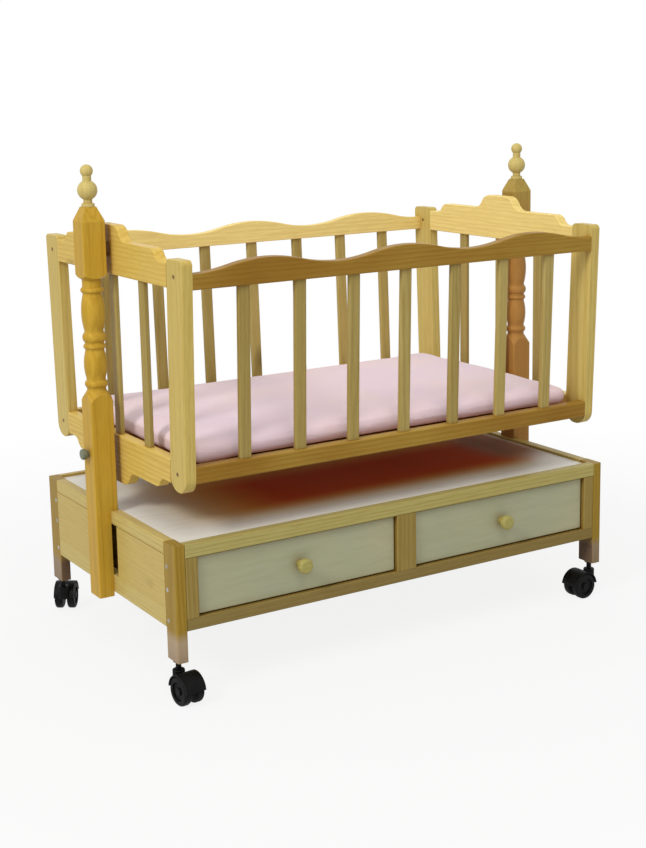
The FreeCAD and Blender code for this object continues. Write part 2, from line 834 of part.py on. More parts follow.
wheel_radius = wheel_diameter / 2
hood_radius = wheel_radius + wheel_gap + hood_wall
hood_half = web_thickness / 2 + wheel_gap + wheel_width
hood_top = wheel_radius + hood_radius
web_half = web_thickness / 2
axle_centre = Vec(0, -caster_trail, wheel_radius)


def across(radius, low_x, high_x):
    return rod(radius, axle_centre + axis_x * low_x, axis_x, high_x - low_x)


def caster_housing():
    skirt = block(
        -hood_half, hood_half, -caster_trail - hood_radius, hood_radius - caster_trail,
        wheel_radius + hood_skirt, hood_top)
    hood = across(hood_radius, -hood_half, hood_half).common(skirt)
    boss = rod(boss_radius, Vec(0, 0, wheel_radius + hood_skirt), axis_z, hood_radius - hood_skirt)
    boss = boss.makeFillet(edge_round, [edge for edge in boss.Edges if flat_in(edge, 2, hood_top)])
    cavity = wheel_radius + wheel_gap
    shell = hood.fuse(boss)
    shell = shell.cut([across(cavity, -hood_half, -web_half), across(cavity, web_half, hood_half)])
    hub = across(wheel_hub_radius + wheel_gap, -web_half, web_half)
    stem_top = caster_height + stem_length - joint_room
    stem = rod(stem_radius, Vec(0, 0, hood_top - edge_round), axis_z, stem_top - hood_top + edge_round)
    collar_low = caster_height - joint_room - collar_height
    collar = rod(collar_radius, Vec(0, 0, collar_low), axis_z, collar_height)
    whole = shell.fuse([hub, stem, collar]).removeSplitter()
    return whole.cut(across(axle_radius + running_fit, -web_half, web_half))


def caster_wheel():
    near = web_half + wheel_gap
    wheel = across(wheel_radius, near, hood_half)
    wheel = wheel.makeFillet(wheel_round, [edge for edge in wheel.Edges if runs_in_circle(edge)])
    dish = across(wheel_dish_radius, hood_half - wheel_dish_depth, hood_half)
    hub = across(wheel_hub_radius, hood_half - wheel_dish_depth, hood_half)
    bore = across(axle_radius + running_fit, near, hood_half)
    return wheel.cut([dish.cut(hub), bore])


housing = caster_housing()
axle = across(axle_radius, -hood_half, hood_half)
right_wheel = caster_wheel()
left_wheel = right_wheel.mirror(origin, axis_x)
sockets = []
for side_y, depth_name in ((-1, "front"), (1, "back")):
    for side_x, side_name in ((-1, "left"), (1, "right")):
        name = depth_name + "_" + side_name
        place = FreeCAD.Placement(
            Vec(side_x * leg_x, side_y * leg_y, 0), FreeCAD.Rotation(axis_z, caster_turns[name]))
        frame_group = Part.Compound([housing, axle])
        wheel_group = Part.Compound([left_wheel, right_wheel])
        frame_group.Placement = place
        wheel_group.Placement = place
        save("caster_housing_" + name, frame_group)
        save("caster_wheels_" + name, wheel_group)
        foot = Vec(side_x * leg_x, side_y * leg_y, caster_height)
        tube = rod(socket_radius - running_fit, foot, axis_z, stem_length)
        sockets.append(tube.cut(rod(stem_radius + running_fit, foot, axis_z, stem_length)))
save("caster_sockets", Part.Compound(sockets))
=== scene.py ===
import math
import bmesh
import bpy
from mathutils import Matrix, Vector


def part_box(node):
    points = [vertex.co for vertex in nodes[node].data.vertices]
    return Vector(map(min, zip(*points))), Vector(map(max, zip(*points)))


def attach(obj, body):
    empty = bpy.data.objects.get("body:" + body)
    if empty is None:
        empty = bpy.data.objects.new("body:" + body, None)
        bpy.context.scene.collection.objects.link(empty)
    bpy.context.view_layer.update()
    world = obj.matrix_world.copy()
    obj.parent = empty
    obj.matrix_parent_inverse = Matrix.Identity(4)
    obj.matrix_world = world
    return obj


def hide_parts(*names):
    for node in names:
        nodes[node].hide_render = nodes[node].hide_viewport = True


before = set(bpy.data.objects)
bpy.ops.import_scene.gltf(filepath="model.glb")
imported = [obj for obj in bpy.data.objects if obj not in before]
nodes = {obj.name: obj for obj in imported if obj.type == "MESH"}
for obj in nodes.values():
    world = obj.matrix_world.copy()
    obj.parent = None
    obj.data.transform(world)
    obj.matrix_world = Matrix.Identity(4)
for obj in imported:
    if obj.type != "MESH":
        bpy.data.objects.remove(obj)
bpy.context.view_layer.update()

print("frame loaded:", len(nodes), "nodes")


# node helpers
def rgb(red, green, blue):
    return (red, green, blue, 1.0)


white = rgb(1, 1, 1)
black = rgb(0, 0, 0)


def addNode(tree, kind, settings=None, **values):
    made = tree.nodes.new(kind)
    for key, value in (settings or {}).items():
        setattr(made, key, value)
    for key, value in values.items():
        made.inputs[key.replace("_", " ")].default_value = value
    return made


def join(tree, source, target):
    tree.links.new(source, target)


# a plain value is set on the socket, anything else is linked to it
def feed(tree, value, target):
    if isinstance(value, (int, float, tuple)):
        target.default_value = value
    else:
        join(tree, value, target)


def math2(tree, operation, first, second):
    made = addNode(tree, "ShaderNodeMath", {"operation": operation})
    feed(tree, first, made.inputs[0])
    feed(tree, second, made.inputs[1])
    return made.outputs[0]


def blendColours(tree, amount, first, second, mode="MIX"):
    made = addNode(tree, "ShaderNodeMix", {"data_type": "RGBA", "blend_type": mode})
    for slot, value in ((0, amount), (6, first), (7, second)):    # the colour sockets of the Mix node
        feed(tree, value, made.inputs[slot])
    return made.outputs[2]


def ramp(tree, source, places, colours):
    made = addNode(tree, "ShaderNodeValToRGB")
    for element, place, colour in zip(made.color_ramp.elements, places, colours):
        element.position = place
        element.color = colour
    join(tree, source, made.inputs[0])
    return made.outputs[0]


def fadeIn(tree, source, places):
    return ramp(tree, source, places, (black, white))


def fadeOut(tree, source, places):
    return ramp(tree, source, places, (white, black))


def mapRange(tree, source, fromRange, toRange=(0.0, 1.0), smooth=False):
    made = addNode(tree, "ShaderNodeMapRange", {"interpolation_type": "SMOOTHSTEP"} if smooth else None,
                   From_Min=fromRange[0], From_Max=fromRange[1], To_Min=toRange[0], To_Max=toRange[1])
    join(tree, source, made.inputs["Value"])
    return made.outputs["Result"]


def startMaterial(name):
    made = bpy.data.materials.new(name)
    made.use_nodes = True
    tree = made.node_tree
    return made, tree, tree.nodes["Principled BSDF"]


def objectPoints(tree, scale=(1.0, 1.0, 1.0), place=(0.0, 0.0, 0.0)):
    coords = addNode(tree, "ShaderNodeTexCoord")
    turned = addNode(tree, "ShaderNodeMapping")
    turned.inputs["Scale"].default_value = scale
    turned.inputs["Location"].default_value = place
    join(tree, coords.outputs["Object"], turned.inputs["Vector"])
    return turned.outputs["Vector"]


def objectAxis(tree, axisIndex):
    coords = addNode(tree, "ShaderNodeTexCoord")
    split = addNode(tree, "ShaderNodeSeparateXYZ")
    join(tree, coords.outputs["Object"], split.inputs[0])
    return split.outputs[axisIndex]


def stretchAlong(grain, factor):
    return [factor if axis == grain else 1.0 for axis in "XYZ"]


def noise(tree, points, scale, detail=3.0, roughness=0.55):
    made = addNode(tree, "ShaderNodeTexNoise", Scale=scale, Detail=detail, Roughness=roughness)
    join(tree, points, made.inputs["Vector"])
    return made.outputs["Fac"]


def addBump(tree, shader, height, strength, distance):
    made = addNode(tree, "ShaderNodeBump", Strength=strength, Distance=distance)
    join(tree, height, made.inputs["Height"])
    join(tree, made.outputs["Normal"], shader.inputs["Normal"])


def openness(tree, samples, reach):
    made = addNode(tree, "ShaderNodeAmbientOcclusion", {"samples": samples, "only_local": False},
                   Distance=reach)
    return made.outputs["AO"]


# varnished pine: growth rings, fibres, knots and a tone that changes from board to board
pine = {
    "stretch": 0.045,      # along the grain, against 1 across it
    "swayScale": 7.0,
    "ringScale": 38.0,
    "ringWarp": 5.5,
    "ringEdge": (0.18, 0.62),
    "fibreScale": 520.0,
    "fibreShade": (0.80, 0.74, 0.66),
    "fibreEdge": (0.30, 0.58),
    "fibreShare": 0.55,
    "toneScale": 2.3,
    "toneEdge": (0.36, 0.70),
    "rough": (0.30, 0.46),
    "varnish": 0.10,
    "varnishRough": 0.20,
    "gloss": 0.06,
    "amber": (1.0, 0.76, 0.38),    # tint that the varnish gives to reflections
    "ringRelief": 0.6,
    "bump": 0.22,
    "bumpDepth": 0.0006,
}


def varnishedPine(name, grain, tones, place, step=None, foot=None, ringShare=0.55, deepShare=0.5):
    made, tree, shader = startMaterial(name)
    points = objectPoints(tree, stretchAlong(grain, pine["stretch"]), place)
    sway = noise(tree, points, pine["swayScale"], 2.0)
    rings = addNode(tree, "ShaderNodeTexWave", {"wave_type": "RINGS", "rings_direction": grain},
                    Scale=pine["ringScale"], Distortion=pine["ringWarp"], Detail=2.0, Detail_Scale=1.4,
                    Detail_Roughness=0.6)
    join(tree, points, rings.inputs["Vector"])
    ringFade = math2(tree, "MULTIPLY", rings.outputs["Fac"], sway)
    fibres = noise(tree, points, pine["fibreScale"], 2.0, 0.7)
    tone = noise(tree, objectPoints(tree, place=place), pine["toneScale"], 2.0)

    ringAmount = math2(tree, "MULTIPLY", fadeIn(tree, ringFade, pine["ringEdge"]), ringShare)
    wood = blendColours(tree, ringAmount, rgb(*tones["pale"]), rgb(*tones["ring"]))
    deepAmount = math2(tree, "MULTIPLY", fadeIn(tree, tone, pine["toneEdge"]), deepShare)
    wood = blendColours(tree, deepAmount, wood, rgb(*tones["deep"]))
    fibreTint = ramp(tree, fibres, pine["fibreEdge"], (rgb(*pine["fibreShade"]), white))
    wood = blendColours(tree, pine["fibreShare"], wood, fibreTint, "MULTIPLY")
    wood = addKnots(tree, wood, grain, tones["deep"], place)
    if step:
        wood = stepTone(tree, wood, *step)
    if foot:
        wood = footShade(tree, wood, foot)
    wood = edgeWear(tree, wood, rgb(*tones["pale"]), sway)
    wood = jointGrimeAndShade(tree, wood)
    join(tree, wood, shader.inputs["Base Color"])

    join(tree, mapRange(tree, fibres, (0.3, 0.7), pine["rough"]), shader.inputs["Roughness"])
    shader.inputs["Specular IOR Level"].default_value = pine["gloss"]
    shader.inputs["Specular Tint"].default_value = rgb(*pine["amber"])
    shader.inputs["Coat Weight"].default_value = pine["varnish"]
    shader.inputs["Coat Roughness"].default_value = pine["varnishRough"]
    height = math2(tree, "ADD", math2(tree, "MULTIPLY", ringFade, pine["ringRelief"]), fibres)
    addBump(tree, shader, height, pine["bump"], pine["bumpDepth"])
    return made


# knots: rare dark ovals drawn out along the grain
knot = {"stretch": 0.55, "scale": 5.5, "edge": (0.055, 0.1155), "share": 0.75, "dark": 0.42}


def addKnots(tree, colour, grain, deepTone, place):
    cells = addNode(tree, "ShaderNodeTexVoronoi", {"feature": "F1"}, Scale=knot["scale"], Randomness=1.0)
    join(tree, objectPoints(tree, stretchAlong(grain, knot["stretch"]), place), cells.inputs["Vector"])
    spots = fadeOut(tree, cells.outputs["Distance"], knot["edge"])
    knotColour = rgb(*[part * knot["dark"] for part in deepTone])
    return blendColours(tree, math2(tree, "MULTIPLY", spots, knot["share"]), colour, knotColour)


# boards laid side by side each get their own tone
boardTint = {"dark": (0.82, 0.76, 0.66), "light": (1.06, 1.03, 0.98)}


def stepTone(tree, colour, axisIndex, pitch):
    count = math2(tree, "ROUND", math2(tree, "DIVIDE", objectAxis(tree, axisIndex), pitch), 0.0)
    chance = addNode(tree, "ShaderNodeTexWhiteNoise", {"noise_dimensions": "1D"})
    join(tree, count, chance.inputs["W"])
    tones = (rgb(*boardTint["dark"]), rgb(*boardTint["light"]))
    tint = ramp(tree, chance.outputs["Value"], (0.0, 1.0), tones)
    return blendColours(tree, 1.0, colour, tint, "MULTIPLY")


# painted shade on the lower end of some timbers: full at "full" metres above the floor, none at "none",
# with faces that look in under the stand, where the shade is deepest, painted darker
def footShade(tree, colour, foot):
    fall = mapRange(tree, objectAxis(tree, 2), (foot["none"], foot["full"]), (0.0, foot["share"]))
    shadedPart = blendColours(tree, fall, colour, rgb(*foot["paintedShade"]))
    if "inner" not in foot:
        return shadedPart
    dark = fadeOut(tree, openness(tree, 8, foot["nook"]), foot["nookEdge"])
    return blendColours(tree, math2(tree, "MULTIPLY", dark, fall), shadedPart, rgb(*foot["inner"]))


# arrises rubbed paler in places
wear = {"radius": 0.0024, "edge": (0.88, 0.985), "patch": (0.40, 0.62)}


def edgeWear(tree, colour, worn, patches):
    soft = addNode(tree, "ShaderNodeBevel", {"samples": 4}, Radius=wear["radius"])
    shape = addNode(tree, "ShaderNodeNewGeometry")
    turn = addNode(tree, "ShaderNodeVectorMath", {"operation": "DOT_PRODUCT"})
    join(tree, soft.outputs["Normal"], turn.inputs[0])
    join(tree, shape.outputs["Normal"], turn.inputs[1])
    edge = fadeOut(tree, turn.outputs["Value"], wear["edge"])
    patch = fadeIn(tree, patches, wear["patch"])
    return blendColours(tree, math2(tree, "MULTIPLY", edge, patch), colour, worn)


# joints and inner corners hold a little dark varnish, and painted shade darkens corners and narrow gaps by
# how enclosed they are
grimeAndShade = {"reach": 0.022, "edge": (0.22, 0.80), "shade": (0.66, 0.44, 0.10), "share": 0.85}


def jointGrimeAndShade(tree, colour):
    shade = ramp(tree, openness(tree, 4, grimeAndShade["reach"]), grimeAndShade["edge"], (rgb(*grimeAndShade["shade"]), white))
    return blendColours(tree, grimeAndShade["share"], colour, shade, "MULTIPLY")


pineTones = {
    "frame": {"pale": (0.72, 0.52, 0.13), "ring": (0.55, 0.34, 0.06), "deep": (0.64, 0.43, 0.08)},
    "sunny": {"pale": (0.90, 0.72, 0.28), "ring": (0.72, 0.51, 0.14), "deep": (0.80, 0.60, 0.18)},
    "brown": {"pale": (0.41, 0.26, 0.045), "ring": (0.29, 0.15, 0.015), "deep": (0.22, 0.085, 0.006)},
    "slat": {"pale": (0.47, 0.385, 0.145), "ring": (0.34, 0.25, 0.07), "deep": (0.39, 0.29, 0.085)},
    "post": {"pale": (0.62, 0.48, 0.15), "ring": (0.47, 0.33, 0.07), "deep": (0.54, 0.39, 0.09)},
    "upright": {"pale": (0.58, 0.365, 0.045), "ring": (0.40, 0.215, 0.016), "deep": (0.47, 0.265, 0.022)},
    # a darker, greener copy of the upright tone: painted shade on the right upright, which stands behind the
    # cradle's end
    "shadedUpright": {"pale": (0.44, 0.32, 0.085), "ring": (0.31, 0.20, 0.035), "deep": (0.37, 0.25, 0.05)},
    "stand": {"pale": (0.47, 0.41, 0.15), "ring": (0.35, 0.27, 0.065), "deep": (0.41, 0.33, 0.09)},
    "standEnd": {"pale": (0.60, 0.48, 0.17), "ring": (0.44, 0.32, 0.075), "deep": (0.52, 0.39, 0.10)},
    "standLow": {"pale": (0.27, 0.20, 0.065), "ring": (0.19, 0.125, 0.03), "deep": (0.20, 0.12, 0.025)},
    "leg": {"pale": (0.36, 0.235, 0.035), "ring": (0.25, 0.145, 0.014), "deep": (0.30, 0.185, 0.02)},
    "stile": {"pale": (0.34, 0.25, 0.075), "ring": (0.25, 0.16, 0.03), "deep": (0.28, 0.19, 0.04)},
    "finial": {"pale": (0.62, 0.51, 0.19), "ring": (0.50, 0.37, 0.10), "deep": (0.55, 0.43, 0.13)},
    "knob": {"pale": (0.42, 0.38, 0.13), "ring": (0.34, 0.28, 0.075), "deep": (0.38, 0.32, 0.09)},
    "ply": {"pale": (0.58, 0.44, 0.14), "ring": (0.47, 0.34, 0.09), "deep": (0.51, 0.37, 0.10)},
}

# painted shade on the stand's legs: the lower ends darker, the faces in under the stand darkest
legFoot = {"none": 0.127, "full": 0.108, "share": 0.75, "paintedShade": (0.29, 0.22, 0.165),
           "inner": (0.045, 0.012, 0.010), "nook": 0.25, "nookEdge": (0.52, 0.76)}
# the front left leg, which stands in the light, gets a paler painted shade
paleFoot = dict(legFoot, paintedShade=(0.48, 0.37, 0.27))
# painted shade: the right upright's lower part, in the shadow of the cradle's end, painted red-brown
redFoot = {"none": 0.82, "full": 0.70, "share": 0.70, "paintedShade": (0.47, 0.20, 0.055)}

# each batch of boards: its tone, the way its grain runs and where it was cut from the log
woodWork = {
    "backRails": {"tones": "sunny", "grain": "X", "place": (0.0, 0.3, 0.11), "names": [
        "side_top_rail_back", "side_bottom_rail_back"]},
    "frontRails": {"tones": "brown", "grain": "X", "place": (0.0, 0.16, 0.05), "deepShare": 0.8, "names": [
        "side_top_rail_front", "side_bottom_rail_front"]},
    "leftEndRails": {"tones": "frame", "grain": "Y", "place": (0.21, 0.0, 0.17), "names": [
        "cradle_end_top_rail_left", "cradle_end_bottom_rail_left"]},
    "rightEndRails": {"tones": "sunny", "grain": "Y", "place": (-0.21, 0.0, 0.17), "names": [
        "cradle_end_top_rail_right", "cradle_end_bottom_rail_right"]},
    "cornerPosts": {"tones": "post", "grain": "Z", "place": (0.13, 0.08, 0.0), "names": [
        "corner_post_front_left", "corner_post_front_right",
        "corner_post_back_left", "corner_post_back_right"]},
    "sideSlats": {"tones": "slat", "grain": "Z", "place": (0.05, 0.22, 0.0), "step": (0, 0.111375), "names": [
        "side_slats_front", "side_slats_back"]},
    "endSlats": {"tones": "slat", "grain": "Z", "place": (0.31, 0.02, 0.0), "step": (1, 0.124), "names": [
        "end_slats_left", "end_slats_right"]},
    "leftUpright": {"tones": "upright", "grain": "Z", "place": (0.487, 0.006, 0.0), "names": [
        "upright_left"]},
    "rightUpright": {"tones": "shadedUpright", "grain": "Z", "place": (-0.487, 0.004, 0.0), "foot": redFoot,
                     "names": ["upright_right"]},
    "finials": {"tones": "finial", "grain": "Z", "place": (0.48, 0.01, 0.0), "names": [
        "finial_left", "finial_right"]},
    "drawerKnobs": {"tones": "knob", "grain": "Y", "place": (0.23, 0.0, 0.2), "names": [
        "drawer_knob_left", "drawer_knob_right"]},
    "frontLeftLeg": {"tones": "leg", "grain": "Z", "place": (0.04, 0.31, 0.0), "foot": paleFoot, "names": [
        "leg_front_left"]},
    "standLegs": {"tones": "leg", "grain": "Z", "place": (0.04, 0.31, 0.0), "foot": legFoot, "names": [
        "leg_front_right", "leg_back_left", "leg_back_right"]},
    "frontStiles": {"tones": "stile", "grain": "Z", "place": (0.12, 0.21, 0.0), "names": ["front_stiles"]},
    "frontTopRail": {"tones": "stand", "grain": "X", "place": (0.0, 0.25, 0.06), "names": ["front_top_rail"]},
    "frontLowRail": {"tones": "standLow", "grain": "X", "place": (0.0, 0.23, 0.02), "names": [
        "front_bottom_rail"]},
    "standRailsAcross": {"tones": "standEnd", "grain": "Y", "place": (0.45, 0.0, 0.03), "names": [
        "stand_end_rails_left", "stand_end_rails_right"]},
    "plyPanels": {"tones": "ply", "grain": "Y", "place": (0.40, 0.0, 0.09), "ringShare": 0.28, "names": [
        "stand_end_panels_left", "stand_end_panels_right", "drawer_box_left", "drawer_box_right",
        "drawer_partition", "drawer_runners", "floor_cleats"]},
    "plyBoards": {"tones": "ply", "grain": "X", "place": (0.0, 0.12, 0.30), "ringShare": 0.28, "names": [
        "stand_back_panel", "stand_floor_panel"]},
}


def dress(names, material):
    for name in names:
        for slot in nodes[name].material_slots:
            slot.material = material


for title, batch in woodWork.items():
    cut = {key: batch[key] for key in ("step", "foot", "ringShare", "deepShare") if key in batch}
    timber = varnishedPine(title, batch["grain"], pineTones[batch["tones"]], batch["place"], **cut)
    dress(batch["names"], timber)
print("pine dressed")


# white laminate on the stand's top, with the cradle's shade painted on it in tan, red-brown and dark brown,
# and pale laminate on the drawer fronts
laminate = {
    "top": {"base": (0.88, 0.88, 0.82), "cloud": (0.80, 0.79, 0.72), "rough": (0.28, 0.42), "gloss": 0.12,
            "tanShade": (0.84, 0.58, 0.12), "redShade": (0.70, 0.11, 0.018), "darkShade": (0.34, 0.17, 0.10)},
    "front": {"base": (0.44, 0.42, 0.26), "cloud": (0.34, 0.38, 0.26), "rough": (0.34, 0.50), "gloss": 0.30},
    "cloudScale": 5.0, "cloudEdge": (0.35, 0.70), "cloudShare": 0.6,
    "streakScale": 90.0, "streakStretch": 0.12, "streakEdge": (0.35, 0.62), "streakShade": (0.90, 0.88, 0.83),
    "streakShare": 0.6,
    "speckScale": 900.0,
    "dulled": 0.55,        # roughness that the painted shade adds
    "bump": 0.10, "bumpDepth": 0.0003,
}

# where each patch of painted shade on the top begins and where it is full, from each side in metres
paintedShadeReach = {
    "tan": {"front": (-0.228, -0.130), "back": (0.200, 0.060),
            "left": (-0.440, -0.235), "right": (0.440, 0.330)},
    "red": {"front": (-0.200, -0.118), "back": (0.120, 0.000),
            "left": (-0.365, -0.150), "right": (0.460, 0.340)},
    "deepShadow": {"front": (-0.185, -0.085), "back": (0.200, 0.060),
              "left": (0.300, 0.400), "right": (0.480, 0.440)},
}


# mask of one patch of painted shade under the cradle, smooth from each side
def shadeUnderCradle(tree, reach):
    along, across = objectAxis(tree, 0), objectAxis(tree, 1)
    depth = 1.0
    for side, place in (("front", across), ("back", across), ("left", along), ("right", along)):
        depth = math2(tree, "MULTIPLY", mapRange(tree, place, reach[side], smooth=True), depth)
    return depth


def laminateSheet(name, tones, grain):
    made, tree, shader = startMaterial(name)
    clouds = noise(tree, objectPoints(tree), laminate["cloudScale"], 4.0)
    streakPoints = objectPoints(tree, stretchAlong(grain, laminate["streakStretch"]))
    streaks = noise(tree, streakPoints, laminate["streakScale"], 3.0, 0.65)
    specks = noise(tree, objectPoints(tree), laminate["speckScale"], 2.0)
    cloudAmount = math2(tree, "MULTIPLY", fadeIn(tree, clouds, laminate["cloudEdge"]), laminate["cloudShare"])
    sheet = blendColours(tree, cloudAmount, rgb(*tones["base"]), rgb(*tones["cloud"]))
    streakTint = ramp(tree, streaks, laminate["streakEdge"], (rgb(*laminate["streakShade"]), white))
    sheet = blendColours(tree, laminate["streakShare"], sheet, streakTint, "MULTIPLY")
    sheet = jointGrimeAndShade(tree, sheet)
    dull = mapRange(tree, clouds, (0.35, 0.65), tones["rough"])
    # painted shade of the cradle on the top: tan at the edges, red-brown in the middle, dark brown at the
    # right end
    if "redShade" in tones:
        tan, red, deepShadow = (shadeUnderCradle(tree, paintedShadeReach[paintedShade]) for paintedShade in ("tan", "red", "deepShadow"))
        sheet = blendColours(tree, tan, sheet, rgb(*tones["tanShade"]))
        sheet = blendColours(tree, red, sheet, rgb(*tones["redShade"]))
        sheet = blendColours(tree, deepShadow, sheet, rgb(*tones["darkShade"]))
        shadedPart = math2(tree, "MAXIMUM", tan, deepShadow)
        dull = math2(tree, "ADD", dull, math2(tree, "MULTIPLY", shadedPart, laminate["dulled"]))
    join(tree, sheet, shader.inputs["Base Color"])
    join(tree, dull, shader.inputs["Roughness"])
    shader.inputs["Specular IOR Level"].default_value = tones["gloss"]
    addBump(tree, shader, math2(tree, "ADD", streaks, specks), laminate["bump"], laminate["bumpDepth"])
    return made


dress(["stand_top_panel"], laminateSheet("whiteLaminate", laminate["top"], "X"))
dress(["drawer_front_left", "drawer_front_right"], laminateSheet("drawerLaminate", laminate["front"], "X"))


# small hard pieces
standCorners = ("front_left", "front_right", "back_left", "back_right")
hardPieces = {
    "blackMoulding": {"colour": (0.002, 0.002, 0.002), "worn": (0.005, 0.005, 0.005), "rough": (0.45, 0.60),
                      "metal": 0.0, "gloss": 0.12, "grain": 700.0,
                      "names": ["caster_housing_" + corner for corner in standCorners]},
    "blackTread": {"colour": (0.003, 0.003, 0.003), "worn": (0.009, 0.008, 0.008), "rough": (0.50, 0.68),
                   "metal": 0.0, "gloss": 0.12, "grain": 420.0,
                   "names": ["caster_wheels_" + corner for corner in standCorners]},
    "zincSteel": {"colour": (0.46, 0.46, 0.45), "worn": (0.30, 0.29, 0.27), "rough": (0.25, 0.45),
                  "metal": 1.0, "gloss": 0.5, "grain": 300.0,
                  "names": ["pivot_pins", "leg_screws", "caster_sockets"]},
    "brownNylon": {"colour": (0.10, 0.05, 0.02), "worn": (0.16, 0.09, 0.04), "rough": (0.40, 0.55),
                   "metal": 0.0, "gloss": 0.25, "grain": 500.0, "names": ["pivot_bushes"]},
    "greenGreyKnob": {"colour": (0.16, 0.17, 0.11), "worn": (0.26, 0.26, 0.18), "rough": (0.35, 0.52),
                      "metal": 0.0, "gloss": 0.25, "grain": 600.0, "names": ["swing_lock_screw"]},
    "darkPegs": {"colour": (0.16, 0.085, 0.03), "worn": (0.26, 0.15, 0.06), "rough": (0.40, 0.55),
                 "metal": 0.0, "gloss": 0.25, "grain": 800.0,
                 "names": ["frame_pegs_upper", "frame_pegs_lower"]},
    "brownHardboard": {"colour": (0.36, 0.15, 0.055), "worn": (0.44, 0.20, 0.08), "rough": (0.45, 0.62),
                       "metal": 0.0, "gloss": 0.25, "grain": 900.0, "names": ["cradle_floor"]},
}
hardWear = {"cloudScale": 45.0, "wornEdge": (0.42, 0.72), "bump": 0.15, "bumpDepth": 0.0003}


def hardFinish(name, tones):
    made, tree, shader = startMaterial(name)
    points = objectPoints(tree)
    clouds = noise(tree, points, hardWear["cloudScale"])
    grain = noise(tree, points, tones["grain"], 2.0, 0.6)
    wornAmount = fadeIn(tree, clouds, hardWear["wornEdge"])
    finish = blendColours(tree, wornAmount, rgb(*tones["colour"]), rgb(*tones["worn"]))
    join(tree, finish, shader.inputs["Base Color"])
    join(tree, mapRange(tree, clouds, (0.35, 0.65), tones["rough"]), shader.inputs["Roughness"])
    shader.inputs["Metallic"].default_value = tones["metal"]
    shader.inputs["Specular IOR Level"].default_value = tones["gloss"]
    addBump(tree, shader, grain, hardWear["bump"], hardWear["bumpDepth"])
    return made


for title, tones in hardPieces.items():
    dress(tones["names"], hardFinish(title, tones))
print("laminate and hard pieces dressed")


# mattress: a cotton-covered foam pad, puffed by cloth pressure
mattress = {
    "weld": 0.00001,
    "shrink": 0.004,       # starts this much smaller all round, then swells
    "voxel": 0.0065,
    "pressure": 4.0,
    "quality": 4,
    "frames": 20,
    "most": 0.007,         # furthest that a point may move
    "floorGap": 0.0004,
    "cloth": (0.90, 0.70, 0.75),
    "shade": (0.80, 0.66, 0.82),
    "cloudScale": 6.0,
    "cloudEdge": (0.38, 0.68),
    "cloudShare": 0.6,
    "weaveScale": 143.2437,
    "weaveShade": (0.78, 0.74, 0.76),
    "weaveShare": 0.25,    # for the colour and the bump alike
    "creaseScale": 22.0,
    "rough": 0.85,
    "sheen": 0.35,
    "sheenRough": 0.45,
    "bump": 0.35,
    "bumpDepth": 0.0025,
}


def cottonCover():
    made, tree, shader = startMaterial("pinkCotton")
    points = objectPoints(tree)
    clouds = noise(tree, points, mattress["cloudScale"])
    cloudAmount = math2(tree, "MULTIPLY", fadeIn(tree, clouds, mattress["cloudEdge"]), mattress["cloudShare"])
    cover = blendColours(tree, cloudAmount, rgb(*mattress["cloth"]), rgb(*mattress["shade"]))
    threads = []
    for direction in ("X", "Y"):
        thread = addNode(tree, "ShaderNodeTexWave", {"wave_type": "BANDS", "bands_direction": direction},
                         Scale=mattress["weaveScale"], Distortion=0.6, Detail=1.0)
        join(tree, points, thread.inputs["Vector"])
        threads.append(thread.outputs["Fac"])
    weave = math2(tree, "MULTIPLY", *threads)
    weaveTint = ramp(tree, weave, (0.0, 0.6), (rgb(*mattress["weaveShade"]), white))
    cover = blendColours(tree, mattress["weaveShare"], cover, weaveTint, "MULTIPLY")
    join(tree, cover, shader.inputs["Base Color"])
    shader.inputs["Roughness"].default_value = mattress["rough"]
    shader.inputs["Sheen Weight"].default_value = mattress["sheen"]
    shader.inputs["Sheen Roughness"].default_value = mattress["sheenRough"]
    crease = noise(tree, points, mattress["creaseScale"], 3.0, 0.6)
    height = math2(tree, "ADD", math2(tree, "MULTIPLY", weave, mattress["weaveShare"]), crease)
    addBump(tree, shader, height, mattress["bump"], mattress["bumpDepth"])
    return made


def bakeModifiers(piece):
    graph = bpy.context.evaluated_depsgraph_get()
    baked = bpy.data.meshes.new_from_object(piece.evaluated_get(graph))
    piece.modifiers.clear()
    piece.data = baked


def puff(pad):
    before = [vertex.co.copy() for vertex in pad.data.vertices]
    cloth = pad.modifiers.new("puff", "CLOTH")
    cloth.settings.use_pressure = True
    cloth.settings.uniform_pressure_force = mattress["pressure"]
    cloth.settings.effector_weights.gravity = 0.0
    cloth.settings.quality = mattress["quality"]
    cloth.point_cache.frame_end = mattress["frames"]
    scene = bpy.context.scene
    for step in range(1, mattress["frames"] + 1):
        scene.frame_set(step)
    bakeModifiers(pad)
    scene.frame_set(1)
    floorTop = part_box("cradle_floor")[1][2] + mattress["floorGap"]
    for vertex, start in zip(pad.data.vertices, before):
        moved = vertex.co - start
        if moved.length > mattress["most"]:
            vertex.co = start + moved * (mattress["most"] / moved.length)
        vertex.co.z = max(vertex.co.z, floorTop)


